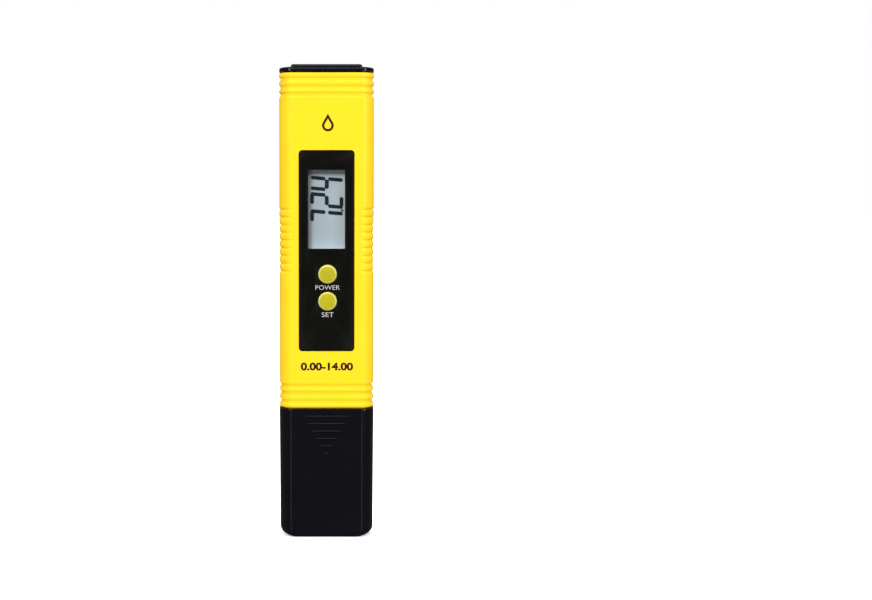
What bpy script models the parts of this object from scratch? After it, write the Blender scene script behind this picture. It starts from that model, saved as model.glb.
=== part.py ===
"""Pocket pH test pen: a flat, upright two-shell casing with a display and two keys,
a pull-off battery cap on top and a pull-off electrode cap over the glass electrode.

Metres, +Z up, front of the pen towards -Y. The origin is the centre of the electrode
cap's flat bottom, so the pen stands on z = 0. Dimensions below are in millimetres."""

import math

import bmesh
import bpy
from mathutils import Matrix, Vector

MM = 0.001

# ---- driving dimensions (mm) ----
TOTAL_H = 150.0
BODY_HX, BODY_HY = 15.0, 7.5  # half width and half depth of the casing
CORNER_RX, CORNER_RY = 4.1, 6.0  # elliptical corner between the flat faces and the sides
WALL = 1.3
CLEAR = 0.3  # running clearance of the two caps
SEAM = 0.1  # half of the gap between the two shells
CORNER_STEPS = 5

CAP_TOP = 41.2  # rim of the electrode cap
BODY_Z0, BODY_Z1 = 41.5, 147.4
NECK_Z0 = 31.1
LID_Z0 = 147.7  # underside of the battery cap's flange

GROOVE_W, GROOVE_D = 1.5, 0.45
BAND_Z = (43.4, 46.0, 48.4, 140.45, 142.75, 145.3)  # grooves right round the casing
GRIP_TOP_Z, GRIP_PITCH, GRIP_COUNT = 104.4, 2.43, 9  # grooves on the curved sides only

PANEL_W, PANEL_H, PANEL_R, PANEL_Z = 17.5, 63.4, 1.1, 91.35
WINDOW_W, WINDOW_H, WINDOW_Z = 11.6, 24.8, 104.5
LCD_Z = 104.2  # middle of the display glass behind the window
KEY_R, KEY_HOLE_R = 2.92, 3.12
POWER_Z, CAL_Z = 84.05, 75.5
KEY_X = 0.3  # the keys sit a little right of the centre line

BOARD_FRONT, BOARD_BACK = -1.0, 0.2
BOARD_HX, BOARD_Z0, BOARD_Z1 = 11.0, 60.0, 124.0
BOSS_X, BOSS_Z = 9.0, (62.5, 121.7)

CELL_R, CELL_T, CELL_Z = 5.8, 5.4, 134.0
GUARD_Z0, GUARD_Z1 = 9.0, 29.3
GUARD_R, GUARD_BORE = 5.0, 4.2
STEM_TOP = 50.5

# ---- clean start ----
for old in list(bpy.data.objects):
    bpy.data.objects.remove(old, do_unlink=True)

scene = bpy.context.scene
pen = bpy.data.collections.new("ph_test_pen")
cutters = bpy.data.collections.new("cutters")
scene.collection.children.link(pen)
scene.collection.children.link(cutters)


def material(name, color, roughness, metallic=0.0, alpha=1.0):
    m = bpy.data.materials.new(name)
    m.use_nodes = True
    p = m.node_tree.nodes["Principled BSDF"]
    p.inputs["Base Color"].default_value = (*color, 1.0)
    p.inputs["Roughness"].default_value = roughness
    p.inputs["Metallic"].default_value = metallic
    p.inputs["Alpha"].default_value = alpha
    return m


YELLOW = ((0.98, 0.80, 0.03), 0.32)
BLACK = ((0.012, 0.012, 0.015), 0.42)


def own(obj, look):
    """Gives the object a material of its own, named for it."""
    color, rough, *rest = look
    m = material(obj.name + "_material", color, rough, *(rest or ()))
    obj.data.materials.clear()
    obj.data.materials.append(m)
    return obj


def place(obj, cutter=False):
    (cutters if cutter else pen).objects.link(obj)
    if cutter:
        obj.hide_render = True
        obj.display_type = "WIRE"
    return obj


def smooth(obj, angle=35):
    obj.data.shade_smooth()
    obj.data.set_sharp_from_angle(angle=math.radians(angle))
    return obj


def ring(z, hx, hy, rx, ry, inset=0.0, side=0.0, steps=CORNER_STEPS):
    """A rounded slab's outline at height z; side is an inset of the curved sides alone."""
    points = []
    for q in range(4):
        sx = 1 if q in (0, 3) else -1
        sy = 1 if q in (0, 1) else -1
        for k in range(steps + 1):
            t = (q + k / steps) * math.pi / 2
            c, s = math.cos(t), math.sin(t)
            n = Vector((c / rx, s / ry)).normalized()
            d = inset + side * min(1.0, abs(c) * 1.8)
            points.append(
                Vector(
                    (
                        (sx * (hx - rx) + rx * c - d * n.x) * MM,
                        (sy * (hy - ry) + ry * s - d * n.y) * MM,
                        z * MM,
                    )
                )
            )
    return points


def slab_ring(z, offset=0.0, **kw):
    """The casing's outline moved inwards by offset."""
    return ring(
        z,
        BODY_HX - offset,
        BODY_HY - offset,
        CORNER_RX - offset,
        CORNER_RY - offset,
        **kw,
    )


def loft(name, rings, cutter=False):
    """Skins a stack of unlike rings, bottom to top, and closes both ends."""
    bm = bmesh.new()
    rows = [[bm.verts.new(p) for p in r] for r in rings]
    n = len(rows[0])
    for a, b in zip(rows, rows[1:]):
        for i in range(n):
            j = (i + 1) % n
            bm.faces.new((a[i], a[j], b[j], b[i]))
    bm.faces.new(list(reversed(rows[0])))
    bm.faces.new(rows[-1])
    mesh = bpy.data.meshes.new(name)
    bm.to_mesh(mesh)
    bm.free()
    return place(bpy.data.objects.new(name, mesh), cutter)


def box(name, lo, hi, bevel=0.0, cutter=False):
    """A block from corner to corner, its origin at its middle."""
    size = [(b - a) * MM for a, b in zip(lo, hi)]
    mid = [(a + b) / 2 * MM for a, b in zip(lo, hi)]
    bm = bmesh.new()
    bmesh.ops.create_cube(bm, size=1.0, matrix=Matrix.Diagonal((*size, 1.0)))
    mesh = bpy.data.meshes.new(name)
    bm.to_mesh(mesh)
    bm.free()
    obj = place(bpy.data.objects.new(name, mesh), cutter)
    obj.location = mid
    if bevel:
        m = obj.modifiers.new("edge", "BEVEL")
        m.width = bevel * MM
        m.segments = 2
        m.limit_method = "ANGLE"
    return obj


ALONG = {
    "x": (0.0, math.pi / 2, 0.0),
    "y": (-math.pi / 2, 0.0, 0.0),
    "z": (0.0, 0.0, 0.0),
}


def cylinder(name, radius, start, length, axis="z", sides=16, cutter=False):
    """A round bar from start, running along +axis."""
    bm = bmesh.new()
    bmesh.ops.create_cone(
        bm,
        cap_ends=True,
        segments=sides,
        radius1=radius * MM,
        radius2=radius * MM,
        depth=length * MM,
        matrix=Matrix.Translation((0, 0, length / 2 * MM)),
    )
    mesh = bpy.data.meshes.new(name)
    bm.to_mesh(mesh)
    bm.free()
    obj = place(bpy.data.objects.new(name, mesh), cutter)
    obj.location = [c * MM for c in start]
    obj.rotation_euler = ALONG[axis]
    return obj if cutter else smooth(obj)


def turned(name, profile, start, axis="z", steps=16, closed=False):
    """A turned shape: (radius, height) pairs down the outer side, heights along +axis from start."""
    bm = bmesh.new()
    vs = [bm.verts.new((r * MM, 0, h * MM)) for r, h in profile]
    for a, b in zip(vs, vs[1:]):
        bm.edges.new((a, b))
    if closed:
        bm.edges.new((vs[-1], vs[0]))
    mesh = bpy.data.meshes.new(name)
    bm.to_mesh(mesh)
    bm.free()
    obj = place(bpy.data.objects.new(name, mesh))
    s = obj.modifiers.new("turn", "SCREW")
    s.axis = "Z"
    s.angle = 2 * math.pi
    s.steps = s.render_steps = steps
    s.use_merge_vertices = True
    s.merge_threshold = 0.00002
    s.use_smooth_shade = True
    obj.location = [c * MM for c in start]
    obj.rotation_euler = ALONG[axis]
    return obj


def arc_points(cx, cy, r, a0, a1, steps):
    return [
        (
            cx + r * math.cos(math.radians(a0 + (a1 - a0) * k / steps)),
            cy + r * math.sin(math.radians(a0 + (a1 - a0) * k / steps)),
        )
        for k in range(steps + 1)
    ]


def rounded(w, h, r, cy=0.0, steps=3):
    """A rounded rectangle's corner points, centred on x = 0."""
    x, y = w / 2 - r, h / 2 - r
    return (
        arc_points(x, cy + y, r, 0, 90, steps)
        + arc_points(-x, cy + y, r, 90, 180, steps)
        + arc_points(-x, cy - y, r, 180, 270, steps)
        + arc_points(x, cy - y, r, 270, 360, steps)
    )


def circle(cx, cy, r, sides=20):
    return arc_points(cx, cy, r, 0, 360 - 360 / sides, sides - 1)


def plate(name, outlines, y0, y1):
    """A flat piece facing -Y between y0 and y1: its outline first, then its holes."""
    curve = bpy.data.curves.new(name, "CURVE")
    curve.dimensions = "2D"
    curve.fill_mode = "BOTH"
    curve.extrude = abs(y1 - y0) / 2 * MM
    for points in outlines:
        s = curve.splines.new("POLY")
        s.points.add(len(points) - 1)
        for p, (x, z) in zip(s.points, points):
            p.co = (x * MM, z * MM, 0, 1)
        s.use_cyclic_u = True
    obj = place(bpy.data.objects.new(name, curve))
    obj.location = (0, (y0 + y1) / 2 * MM, 0)
    obj.rotation_euler = (math.pi / 2, 0, 0)
    return obj


def tube(name, points, radius, resolution=2):
    """A round wire through the points, with closed ends."""
    curve = bpy.data.curves.new(name, "CURVE")
    curve.dimensions = "3D"
    curve.bevel_depth = radius * MM
    curve.bevel_resolution = resolution
    curve.use_fill_caps = True
    s = curve.splines.new("POLY")
    s.points.add(len(points) - 1)
    for p, q in zip(s.points, points):
        p.co = (*(c * MM for c in q), 1)
    return place(bpy.data.objects.new(name, curve))


def eased(route, per_span=4):
    """Points along a smooth curve through the route's points."""
    pts = [Vector(p) for p in route]
    pts = [2 * pts[0] - pts[1], *pts, 2 * pts[-1] - pts[-2]]
    out = []
    for a, b, c, d in zip(pts, pts[1:], pts[2:], pts[3:]):
        for k in range(per_span):
            t = k / per_span
            out.append(
                0.5
                * (
                    2 * b
                    + (c - a) * t
                    + (2 * a - 5 * b + 4 * c - d) * t**2
                    + (3 * b - a - 3 * c + d) * t**3
                )
            )
    out.append(pts[-2])
    return out


def boolean(obj, tool, operation="DIFFERENCE"):
    m = obj.modifiers.new(operation.lower(), "BOOLEAN")
    m.operation = operation
    m.object = tool
    m.solver = "EXACT"


# ================= casing shells =================
def casing_rings():
    """The casing's outside from the neck's end to the top, with every groove."""
    rings = [
        slab_ring(NECK_Z0, WALL + CLEAR + 0.2),
        slab_ring(NECK_Z0 + 0.5, WALL + CLEAR),
        slab_ring(35.2, WALL + CLEAR),
        slab_ring(35.2, WALL + CLEAR + 0.5),
        slab_ring(36.6, WALL + CLEAR + 0.5),
        slab_ring(36.6, WALL + CLEAR),
        slab_ring(BODY_Z0, WALL + CLEAR),
        slab_ring(BODY_Z0, 0.25),
        slab_ring(BODY_Z0 + 0.25),
    ]
    grips = [GRIP_TOP_Z - k * GRIP_PITCH for k in range(GRIP_COUNT)]
    for z, kind in sorted([(z, "band") for z in BAND_Z] + [(z, "grip") for z in grips]):
        key = "inset" if kind == "band" else "side"
        half = GROOVE_W / 2
        rings += [
            slab_ring(z - half),
            slab_ring(z, **{key: GROOVE_D}),
            slab_ring(z + half),
        ]
    rings += [slab_ring(BODY_Z1 - 0.25), slab_ring(BODY_Z1, 0.25)]
    return rings


def cavity(name):
    return loft(
        name,
        [
            slab_ring(NECK_Z0 - 1.0, WALL + CLEAR + 1.2),
            slab_ring(BODY_Z0 - 0.2, WALL + CLEAR + 1.2),
            slab_ring(BODY_Z0 + 1.6, WALL),
            slab_ring(BODY_Z1 + 1.0, WALL),
        ],
        cutter=True,
    )


def half_space(name, y_from, y_to):
    return box(name, (-25, y_from, 10), (25, y_to, 170), cutter=True)


front = loft("front_shell", casing_rings())
boolean(front, cavity("front_cavity"))
boolean(front, half_space("front_cut_rear", -SEAM, 20))
bosses = []
for i, (sx, z) in enumerate(((-1, 0), (1, 0), (-1, 1), (1, 1))):
    boss = cylinder(
        f"boss_{i + 1}", 1.8, (sx * BOSS_X, -6.6, BOSS_Z[z]), 5.4, "y", 14, cutter=True
    )
    boolean(front, boss, "UNION")
    bosses.append(boss)
for i, (sx, z) in enumerate(((-1, 0), (1, 0), (-1, 1), (1, 1))):
    pilot = cylinder(
        f"boss_pilot_{i + 1}", 1.0, (sx * BOSS_X, -5.6, BOSS_Z[z]), 6.0, "y", 10, cutter=True
    )
    boolean(front, pilot)
boolean(
    front,
    box(
        "panel_recess",
        (-PANEL_W / 2 - 0.1, -9.0, PANEL_Z - PANEL_H / 2 - 0.1),
        (PANEL_W / 2 + 0.1, -7.0, PANEL_Z + PANEL_H / 2 + 0.1),
        cutter=True,
    ),
)
boolean(
    front,
    box(
        "window_cut",
        (-WINDOW_W / 2 - 0.1, -8.0, WINDOW_Z - WINDOW_H / 2 - 0.1),
        (WINDOW_W / 2 + 0.1, -5.5, WINDOW_Z + WINDOW_H / 2 + 0.1),
        cutter=True,
    ),
)
for label, z in (("power", POWER_Z), ("cal", CAL_Z)):
    boolean(
        front,
        cylinder(f"{label}_key_hole", KEY_HOLE_R, (KEY_X, -8.0, z), 2.6, "y", 20, cutter=True),
    )
own(smooth(front), YELLOW)

rear = loft("rear_shell", casing_rings())
boolean(rear, cavity("rear_cavity"))
boolean(rear, half_space("rear_cut_front", -20, SEAM))
own(smooth(rear), YELLOW)

# ================= face panel, lens and keys =================
own(
    plate(
        "face_overlay",
        [
            rounded(PANEL_W, PANEL_H, PANEL_R, PANEL_Z),
            rounded(WINDOW_W, WINDOW_H, 0.3, WINDOW_Z, 2),
            circle(KEY_X, POWER_Z, KEY_HOLE_R),
            circle(KEY_X, CAL_Z, KEY_HOLE_R),
        ],
        -7.45,
        -7.05,
    ),
    BLACK,
)
own(
    plate("display_lens", [rounded(14.4, 27.8, 0.6, WINDOW_Z)], -6.1, -5.3),
    ((0.75, 0.82, 0.85), 0.08, 0.0, 0.35),
)
KEY_PROFILE = [  # heights from the back of the key's post, which faces the switch
    (0.0, 3.1),
    (1.2, 3.06),
    (2.1, 2.95),
    (2.75, 2.78),
    (KEY_R, 2.5),
    (KEY_R, 0.8),
    (3.8, 0.8),
    (3.8, 0.2),
    (1.5, 0.2),
    (1.5, 0.0),
    (0.0, 0.0),
]
for label, z in (("power", POWER_Z), ("cal", CAL_Z)):
    # the profile's heights grow towards the front face, so the key is turned to face -Y
    key = turned(f"{label}_button", KEY_PROFILE, (KEY_X, -5.1, z))
    key.rotation_euler = (math.pi / 2, 0, 0)
    own(key, ((0.62, 0.52, 0.05), 0.4))

# ================= display =================
own(
    plate("lcd_front_polariser", [rounded(12.6, 26.2, 0.3, WINDOW_Z, 1)], -5.22, -5.04),
    ((0.55, 0.6, 0.62), 0.2, 0.0, 0.6),
)
own(
    box(
        "lcd_glass",
        (-7.7, -4.98, LCD_Z - 13.9),
        (7.7, -3.0, LCD_Z + 13.9),
        bevel=0.15,
    ),
    ((0.62, 0.68, 0.70), 0.1),
)
own(
    plate("lcd_reflector", [rounded(11.6, 27.0, 0.3, LCD_Z, 1)], -2.94, -2.74),
    ((0.7, 0.7, 0.7), 0.3, 1.0),
)
own(
    plate(
        "lcd_frame",
        [rounded(18.0, 31.0, 0.8, LCD_Z, 2), rounded(15.8, 28.2, 0.2, LCD_Z, 1)],
        -5.1,
        -1.1,
    ),
    ((0.8, 0.8, 0.78), 0.5),
)
for side, sx in (("left", -1), ("right", 1)):
    x0, x1 = sorted((sx * 6.1, sx * 7.5))
    own(
        box(
            f"zebra_strip_{side}",
            (x0, -2.94, LCD_Z - 12.8),
            (x1, -1.06, LCD_Z + 12.8),
            bevel=0.1,
        ),
        ((0.35, 0.33, 0.36), 0.7),
    )

# ================= circuit board and what is on it =================
own(
    plate(
        "circuit_board",
        [
            [
                (x, z + (BOARD_Z0 + BOARD_Z1) / 2)
                for x, z in rounded(2 * BOARD_HX, BOARD_Z1 - BOARD_Z0, 0.8, 0.0, 2)
            ]
        ]
        + [circle(sx * BOSS_X, z, 1.0, 12) for sx in (-1, 1) for z in BOSS_Z],
        BOARD_FRONT,
        BOARD_BACK,
    ),
    ((0.02, 0.22, 0.09), 0.45),
)
own(
    turned(
        "controller_blob",
        [(0, 1.6), (2.2, 1.5), (3.9, 1.05), (4.8, 0.4), (5.0, 0.0), (0, 0.0)],
        (0, BOARD_BACK + 0.1, 92.0),
        "y",
        14,
    ),
    ((0.01, 0.01, 0.01), 0.35),
)
chip = box("amplifier_chip", (-2.0, 0.45, 74.0), (2.0, 1.9, 79.0), bevel=0.12)
for i in range(4):
    z = 74.6 + i * 1.27
    leg = box(f"chip_leg_{i + 1}", (-3.0, 0.3, z - 0.2), (3.0, 0.75, z + 0.2), cutter=True)
    boolean(chip, leg, "UNION")
own(chip, ((0.015, 0.015, 0.017), 0.5))
own(
    turned(
        "crystal_can",
        [(0, 6.0), (0.85, 6.0), (1.0, 5.8), (1.0, 0.3), (1.2, 0.2), (1.2, 0.0), (0, 0.0)],
        (6.2, 1.6, 84.0),
        "z",
        14,
    ),
    ((0.75, 0.75, 0.76), 0.25, 1.0),
)
own(
    turned(
        "filter_capacitor",
        [
            (0, 4.6),
            (1.8, 4.6),
            (2.0, 4.4),
            (2.0, 0.9),
            (1.85, 0.75),
            (2.0, 0.6),
            (2.0, 0.0),
            (0, 0.0),
        ],
        (-5.8, BOARD_BACK + 0.1, 104.0),
        "y",
        16,
    ),
    ((0.1, 0.12, 0.3), 0.35),
)
for label, z in (("power", POWER_Z), ("cal", CAL_Z)):
    base = box(
        f"{label}_switch_base",
        (KEY_X - 3.0, -3.9, z - 3.0),
        (KEY_X + 3.0, -1.1, z + 3.0),
        bevel=0.2,
    )
    boolean(
        base,
        cylinder(f"{label}_switch_well", 2.15, (KEY_X, -4.6, z), 1.9, "y", 16, cutter=True),
    )
    own(base, ((0.02, 0.02, 0.02), 0.5))
    cover = plate(
        f"{label}_switch_cover",
        [rounded(6.0, 6.0, 0.5, z, 2), circle(0, z, 1.85, 16)],
        -4.25,
        -3.95,
    )
    cover.location.x = KEY_X * MM
    own(cover, ((0.72, 0.72, 0.73), 0.3, 1.0))
    plunger = turned(
        f"{label}_switch_plunger",
        [(0, 1.7), (1.5, 1.7), (1.7, 1.5), (1.7, 0.5), (1.95, 0.5), (1.95, 0), (0, 0)],
        (KEY_X, -3.3, z),
        "y",
        16,
    )
    plunger.rotation_euler = (math.pi / 2, 0, 0)
    own(plunger, ((0.05, 0.05, 0.05), 0.4))
n = 0
for z in BOSS_Z:
    for sx in (-1, 1):
        n += 1
        screw = turned(
            f"board_screw_{n}",
            [
                (0, 6.1),
                (1.1, 6.05),
                (1.6, 5.7),
                (1.6, 5.1),
                (0.75, 5.1),
                (0.75, 0.6),
                (0.25, 0.0),
                (0, 0.0),
            ],
            (sx * BOSS_X, -4.8, z),
            "y",
            12,
        )
        slot = box(
            f"screw_slot_{n}",
            (sx * BOSS_X - 2.2, 0.95, z - 0.2),
            (sx * BOSS_X + 2.2, 2.0, z + 0.2),
            cutter=True,
        )
        boolean(screw, slot)
        own(screw, ((0.6, 0.6, 0.62), 0.3, 1.0))

# ================= battery compartment =================
holder = box("battery_holder", (-9.5, -5.6, 126.4), (9.5, 5.6, 140.4), bevel=0.3)
boolean(holder, box("cell_room", (-8.5, -8.0, 127.8), (8.5, 8.0, 142.0), cutter=True))
boolean(
    holder,
    box("holder_tab", (-5.0, 0.5, 119.0), (5.0, 1.7, 127.0), cutter=True),
    "UNION",
)
for side, sx in (("left", -1), ("right", 1)):
    boolean(
        holder,
        cylinder(f"lead_hole_{side}", 0.65, (sx * 6.2, 3.5, 125.5), 3.5, "z", 10, cutter=True),
    )
own(holder, ((0.03, 0.03, 0.03), 0.5))
CELL_PROFILE = [
    (0, CELL_T),
    (5.5, CELL_T),
    (CELL_R, CELL_T - 0.3),
    (CELL_R, 0.75),
    (5.4, 0.35),
    (4.9, 0.3),
    (4.8, 0.0),
    (0, 0.0),
]
for i, x in enumerate((-3.2, 2.4)):
    own(
        turned(f"cell_{i + 1}", CELL_PROFILE, (x, 0, CELL_Z), "x", 20),
        ((0.78, 0.78, 0.78), 0.2, 1.0),
    )
TURNS = 3.25
coil = []
STEPS_PER_TURN = 10
for k in range(int(TURNS * STEPS_PER_TURN) + 1):
    f = k / (TURNS * STEPS_PER_TURN)
    a = f * TURNS * 2 * math.pi
    r = 4.1 - 1.7 * f
    coil.append((-8.1 + 4.2 * f, r * math.cos(a), CELL_Z + r * math.sin(a)))
own(tube("battery_spring", coil, 0.3, 1), ((0.8, 0.78, 0.7), 0.25, 1.0))
contact = box("battery_contact", (8.05, -3.5, 128.4), (8.35, 3.5, 138.4), bevel=0.08)
own(contact, ((0.8, 0.78, 0.7), 0.25, 1.0))
for side, sx, color in (("positive", 1, (0.6, 0.02, 0.02)), ("negative", -1, (0.02, 0.02, 0.02))):
    route = [
        (sx * 6.2, 3.5, 128.3),
        (sx * 6.2, 3.5, 126.0),
        (sx * 6.2, 2.8, 124.4),
        (sx * 6.2, 1.3, 123.2),
        (sx * 6.2, 0.75, 121.6),
    ]
    own(tube(f"battery_lead_{side}", eased(route, 2), 0.4, 2), (color, 0.45))

# ---- battery cap: flange with a raised middle, hollow skirt below ----
lid = loft(
    "battery_cap",
    [
        slab_ring(141.0, WALL + CLEAR + 0.3),
        slab_ring(141.5, WALL + CLEAR),
        slab_ring(143.5, WALL + CLEAR),
        slab_ring(143.5, WALL + CLEAR + 0.5),
        slab_ring(145.0, WALL + CLEAR + 0.5),
        slab_ring(145.0, WALL + CLEAR),
        slab_ring(LID_Z0, WALL + CLEAR),
        slab_ring(LID_Z0, 0.15),
        slab_ring(LID_Z0 + 0.2, 0.0),
        slab_ring(148.75, 0.05),
        slab_ring(149.0, 0.3),
        slab_ring(149.15, 0.9),
        slab_ring(149.3, 2.4),
    ],
)
crown = loft(
    "cap_crown",
    [
        ring(148.1, 11.3, 7.3, 0.6, 0.6, steps=CORNER_STEPS),
        ring(149.3, 11.2, 7.25, 0.6, 0.6, steps=CORNER_STEPS),
        ring(149.8, 11.05, 7.0, 0.6, 0.6, steps=CORNER_STEPS),
        ring(TOTAL_H, 10.8, 6.7, 0.6, 0.6, steps=CORNER_STEPS),
    ],
    cutter=True,
)
boolean(lid, crown, "UNION")
boolean(
    lid,
    loft(
        "cap_hollow",
        [
            slab_ring(140.0, WALL + CLEAR + 1.2),
            slab_ring(148.2, WALL + CLEAR + 1.3),
        ],
        cutter=True,
    ),
)
own(smooth(lid), BLACK)


def band_solid(name, z0, z1, outer, inner):
    """A flat rubber ring that follows the slab's outline."""
    obj = loft(
        name,
        [
            slab_ring(z0 + 0.2, outer + 0.2),
            slab_ring((z0 + z1) / 2, outer),
            slab_ring(z1 - 0.2, outer + 0.2),
        ],
    )
    boolean(
        obj,
        loft(
            name + "_bore",
            [slab_ring(z0 - 1, inner), slab_ring(z1 + 1, inner)],
            cutter=True,
        ),
    )
    return obj


RUBBER = ((0.02, 0.02, 0.02), 0.75)
own(band_solid("battery_cap_gasket", 143.5, 145.0, WALL + 0.06, 2.04), RUBBER)

# ================= electrode =================
guard = loft(
    "electrode_guard",
    [
        slab_ring(GUARD_Z1, WALL + CLEAR + 0.25),
        slab_ring(GUARD_Z1 + 0.3, WALL + CLEAR),
        slab_ring(NECK_Z0 - 0.2, WALL + CLEAR),
    ],
)
for side, sx in (("left", -1), ("right", 1)):
    x0, x1 = sorted((sx * 6.2, sx * 11.2))
    boolean(
        guard,
        box(f"guard_lip_{side}", (x0, -3.6, 30.0), (x1, 3.6, 34.0), cutter=True),
        "UNION",
    )
cage = cylinder(
    "guard_tube", GUARD_R, (0, 0, GUARD_Z0), 30.0 - GUARD_Z0, "z", 24, cutter=True
)
boolean(guard, cage, "UNION")
boolean(
    guard,
    cylinder("guard_bore", GUARD_BORE, (0, 0, 5.0), 30.0, "z", 24, cutter=True),
)
for i, a in enumerate((45, 135)):
    slot = box(f"guard_slot_{i + 1}", (-8, -1.3, 6.0), (8, 1.3, 21.0), cutter=True)
    slot.rotation_euler = (0, 0, math.radians(a))
    boolean(guard, slot)
own(smooth(guard), ((0.03, 0.03, 0.035), 0.4))

body = turned(
    "electrode_body",
    [
        (2.9, 54.0),
        (3.7, 54.0),
        (3.7, 32.6),
        (4.5, 32.6),
        (4.5, 31.2),
        (3.7, 31.2),
        (3.7, 17.0),
        (3.3, 16.5),
        (2.0, 16.5),
        (2.0, 18.0),
        (2.9, 18.0),
    ],
    (0, 0, 0),
    "z",
    18,
    closed=True,
)
boolean(
    body, cylinder("junction_hole", 0.55, (2.72, 0, 16.0), 2.3, "z", 12, cutter=True)
)
own(body, ((0.55, 0.56, 0.58), 0.3))
BULB_R, BULB_Z, STEM_R = 3.1, 13.4, 1.7
t0 = math.asin(STEM_R / BULB_R)
outside = [(STEM_R, STEM_TOP)] + [
    (BULB_R * math.sin(t), BULB_Z + BULB_R * math.cos(t))
    for t in [t0 + (math.pi - t0) * k / 7 for k in range(8)]
]
outside[-1] = (0.0, outside[-1][1])
r_in = BULB_R - 0.45
t1 = math.asin(0.95 / r_in)
inside = [
    (r_in * math.sin(t), BULB_Z + r_in * math.cos(t))
    for t in [math.pi - (math.pi - t1) * k / 6 for k in range(7)]
] + [(0.95, STEM_TOP)]
inside[0] = (0.0, inside[0][1])
glass = turned("glass_bulb", outside + inside, (0, 0, 0), "z", 14)
# the open end of the stem: the profile's two ends are joined by one more edge
bm = bmesh.new()
bm.from_mesh(glass.data)
bm.verts.ensure_lookup_table()
bm.edges.new((bm.verts[len(bm.verts) - 1], bm.verts[0]))
bm.to_mesh(glass.data)
bm.free()
own(glass, ((0.75, 0.85, 0.9), 0.03, 0.0, 0.35))
own(
    cylinder("reference_junction", 0.45, (2.72, 0, 16.35), 1.6, "z", 12),
    ((0.85, 0.84, 0.8), 0.8),
)
own(cylinder("silver_wire", 0.25, (0, 0, 12.6), 44.9, "z", 10), ((0.8, 0.8, 0.8), 0.2, 1.0))
own(
    cylinder("reference_wire", 0.25, (-2.32, 0, 20.0), 37.5, "z", 10),
    ((0.35, 0.3, 0.32), 0.6, 0.5),
)
plug = turned(
    "electrode_plug",
    [(0, 56.2), (3.5, 56.2), (3.7, 56.0), (3.7, 54.1), (2.8, 54.1), (2.8, 51.0), (0, 51.0)],
    (0, 0, 0),
    "z",
    16,
)
for label, x in (("silver", 0.0), ("reference", -2.1)):
    boolean(
        plug,
        cylinder(f"{label}_wire_hole", 0.55, (x, 0, 50.0), 8.0, "z", 10, cutter=True),
    )
own(plug, ((0.45, 0.1, 0.08), 0.7))
own(
    tube(
        "signal_lead",
        eased([(0, 0, 57.7), (0.2, 0.15, 58.6), (0.8, 0.95, 59.9), (1.2, 0.75, 61.8)], 2),
        0.35,
        2,
    ),
    ((0.75, 0.75, 0.72), 0.45),
)
own(
    tube(
        "reference_lead",
        eased(
            [(-2.32, 0, 57.7), (-2.6, 0.15, 58.6), (-3.3, 0.95, 59.9), (-3.6, 0.75, 61.8)], 2
        ),
        0.35,
        2,
    ),
    ((0.02, 0.02, 0.02), 0.45),
)

# ================= electrode cap and its seal =================
own(band_solid("cap_seal_ring", 35.2, 36.6, WALL + 0.06, 2.04), RUBBER)


def cap_ring(z, f, ends=0.0, faces=0.0):
    """f runs from 0 at the floor to 1 at the rim: the sides draft outwards.
    ends and faces draw in the short sides and the flat faces at the rounded bottom."""
    hx = 14.8 + 0.25 * f
    rx = CORNER_RX + hx - BODY_HX
    return ring(
        z, hx - ends, BODY_HY - faces, max(0.8, rx - ends * 0.6), CORNER_RY - faces
    )


cap = loft(
    "electrode_cap",
    [
        cap_ring(0.0, 0.0, 4.3, 1.25),
        cap_ring(0.2, 0.0, 3.1, 0.75),
        cap_ring(0.8, 0.0, 1.6, 0.3),
        cap_ring(1.7, 0.0, 0.6, 0.05),
        cap_ring(2.9, 0.02),
        cap_ring(CAP_TOP - 0.25, 1.0),
        cap_ring(CAP_TOP, 1.0, 0.2, 0.2),
    ],
)
RIB_Z0, RIB_PITCH = 38.8, 2.38
for i, half in enumerate((7.15, 5.95, 4.6, 3.4, 2.1, 0.95)):
    z = RIB_Z0 - i * RIB_PITCH
    rib = box(f"cap_rib_{i + 1}", (-half, -7.7, z - 0.25), (half, -7.0, z + 0.25), cutter=True)
    boolean(cap, rib, "UNION")
boolean(
    cap,
    loft(
        "cap_cavity",
        [
            slab_ring(1.5, WALL + 0.65),
            slab_ring(2.3, WALL + 0.3),
            slab_ring(30.0, WALL),
            slab_ring(CAP_TOP + 1.0, WALL),
        ],
        cutter=True,
    ),
)
own(smooth(cap), BLACK)
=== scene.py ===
"""Looks for the pH test pen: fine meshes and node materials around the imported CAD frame."""

import math

import bmesh
import bpy
from mathutils import Matrix, Vector


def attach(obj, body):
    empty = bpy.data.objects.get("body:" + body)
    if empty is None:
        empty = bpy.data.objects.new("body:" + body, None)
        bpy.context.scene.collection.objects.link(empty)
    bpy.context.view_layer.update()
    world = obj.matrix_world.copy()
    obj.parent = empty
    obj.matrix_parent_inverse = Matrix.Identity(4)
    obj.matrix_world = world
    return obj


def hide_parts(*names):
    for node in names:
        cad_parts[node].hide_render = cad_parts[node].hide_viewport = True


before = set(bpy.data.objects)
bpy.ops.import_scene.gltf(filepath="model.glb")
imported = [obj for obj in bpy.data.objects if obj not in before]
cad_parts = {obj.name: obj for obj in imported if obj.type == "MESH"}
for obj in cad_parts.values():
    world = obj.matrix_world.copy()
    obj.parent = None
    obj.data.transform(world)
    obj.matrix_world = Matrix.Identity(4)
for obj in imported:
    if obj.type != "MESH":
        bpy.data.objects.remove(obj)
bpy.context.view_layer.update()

MM = 0.001
HX, HY = 15.0, 7.5
RX, RY = 4.1, 6.0
WALL, CLEAR = 1.3, 0.3
BODY_Z0, BODY_Z1 = 41.5, 147.4
NECK_Z0 = 31.1
BAND_Z = (43.4, 46.0, 48.4, 140.45, 142.75, 145.3)
GRIP_Z = tuple(104.4 - 2.43 * k for k in range(9))
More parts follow.
